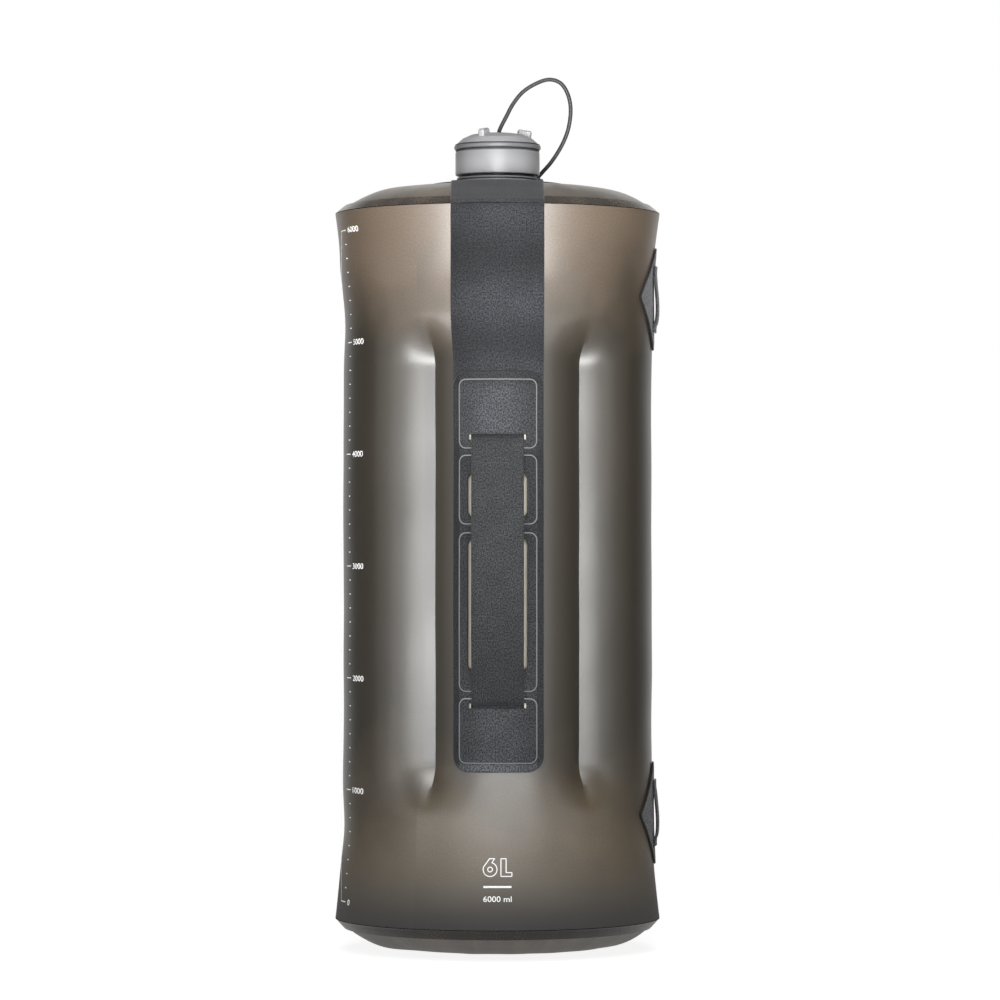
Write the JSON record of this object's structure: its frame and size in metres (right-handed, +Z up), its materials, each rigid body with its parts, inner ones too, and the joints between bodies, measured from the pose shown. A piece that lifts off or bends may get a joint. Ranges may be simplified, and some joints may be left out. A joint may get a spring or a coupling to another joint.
{
  "type": "collapsible water carrier",
  "caption": "Collapsible film water carrier with internal baffles, a front carry strap with a hand strap, lash points and a tethered screw cap.",
  "frame": {"origin": "on the floor under the middle of the base", "axes": "+Z up along the bag, -Y towards the strap and handle (front), +X towards the side lash points"},
  "size_m": [0.162, 0.1706, 0.4369],
  "materials": {
    "smoke_film": "satin, translucent smoke grey film",
    "weld_film": "glossy double film at the welds",
    "webbing": "fine woven nylon",
    "handle": "matt textured",
    "hand_webbing": "coated woven nylon",
    "lash_fabric": "coated woven nylon",
    "neck_plastic": "satin",
    "tether_rubber": "matt",
    "cap_grey": "satin metallic grey",
    "cap_band_grey": "satin metallic grey",
    "gasket": "soft silicone"
  },
  "bodies": {
    "bag": {"wall_sheet": "smoke_film", "bottom_panel": "smoke_film", "bottom_rim_band": "weld_film", "left_baffle": "smoke_film", "right_baffle": "smoke_film", "rear_seam_tape": "weld_film", "carry_strap": "webbing", "handle_plate": "handle", "hand_strap": "hand_webbing", "upper_lash_patch": "lash_fabric", "upper_lash_loop": "webbing", "lower_lash_patch": "lash_fabric", "lower_lash_loop": "webbing", "base_lash_patch": "lash_fabric", "base_lash_loop": "webbing"},
    "crown": {"top_panel": "smoke_film", "top_rim_band": "weld_film", "strap_yoke": "webbing", "neck": "neck_plastic", "tether_neck_ring": "tether_rubber"},
    "tether_swivel": {"tether_button": "tether_rubber", "tether_cord": "tether_rubber"},
    "cap": {"cap_body": "cap_grey", "cap_band": "cap_band_grey", "cap_dome": "cap_grey", "cap_gasket": "gasket"}
  },
  "joints": [
    {"name": "collapse", "type": "slide", "parent": "bag", "child": "crown", "axis": [0, 0, -1], "range_m": [0, 0.246], "deforming": ["wall_sheet", "left_baffle", "right_baffle", "rear_seam_tape", "carry_strap", "handle_plate", "hand_strap", "upper_lash_patch", "upper_lash_loop", "lower_lash_patch", "lower_lash_loop"]},
    {"name": "cap_lift", "type": "slide", "parent": "crown", "child": "tether_swivel", "axis": [0, 0, 1], "range_m": [0, 0.01576]},
    {"name": "cap_turn", "type": "hinge", "parent": "tether_swivel", "child": "cap", "pos_m": [0, 0, 0.39], "axis": [0, 0, 1], "range_deg": [0, 630]}
  ],
  "couplings": [
    {"joint": "cap_lift", "follows": "cap_turn", "m_per_rad": 0.0014324}
  ]
}
